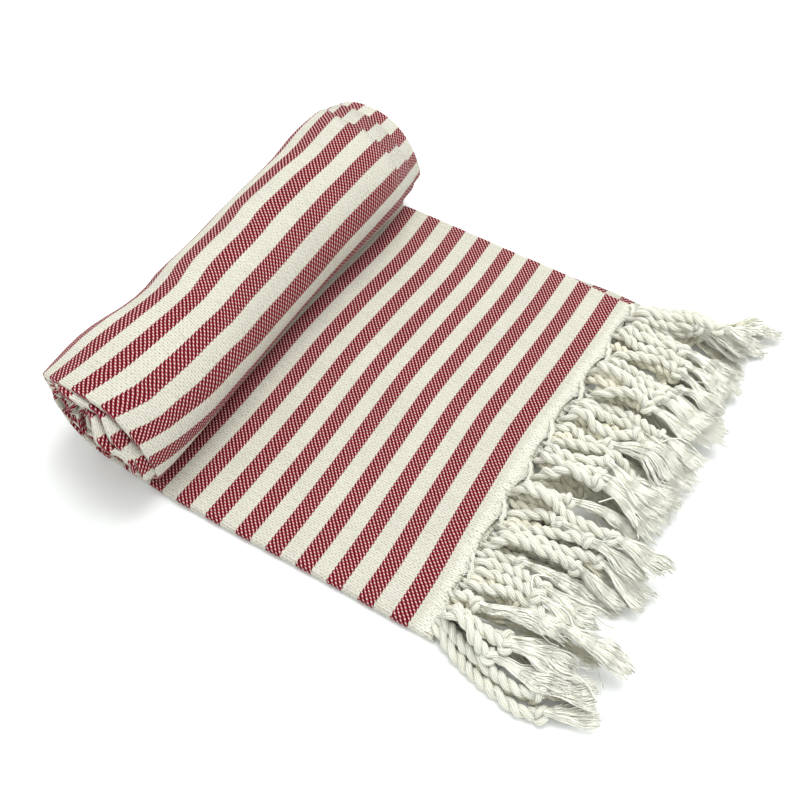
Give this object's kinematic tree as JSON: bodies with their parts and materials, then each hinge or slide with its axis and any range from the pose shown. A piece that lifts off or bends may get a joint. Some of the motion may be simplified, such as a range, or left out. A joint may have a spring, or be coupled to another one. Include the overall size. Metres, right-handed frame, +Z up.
{
  "type": "hammam towel",
  "caption": "Striped flat-woven cotton bath towel, folded lengthwise and rolled up, its loose end lying flat with a fringe of knotted twisted cords and tassels.",
  "frame": {"origin": "centre of the rolled towel's base, on the surface that it lies on", "axes": "+X from the roll towards the fringe, +Y along the roll away from its near, folded end, +Z up"},
  "size_m": [0.3046, 0.2892, 0.0683],
  "materials": {
    "cloth": "woven, matte",
    "fringe": "twisted cotton yarn, matte"
  },
  "bodies": {
    "root": {"towel_cloth": "cloth", "fringe": "fringe"}
  },
  "joints": []
}
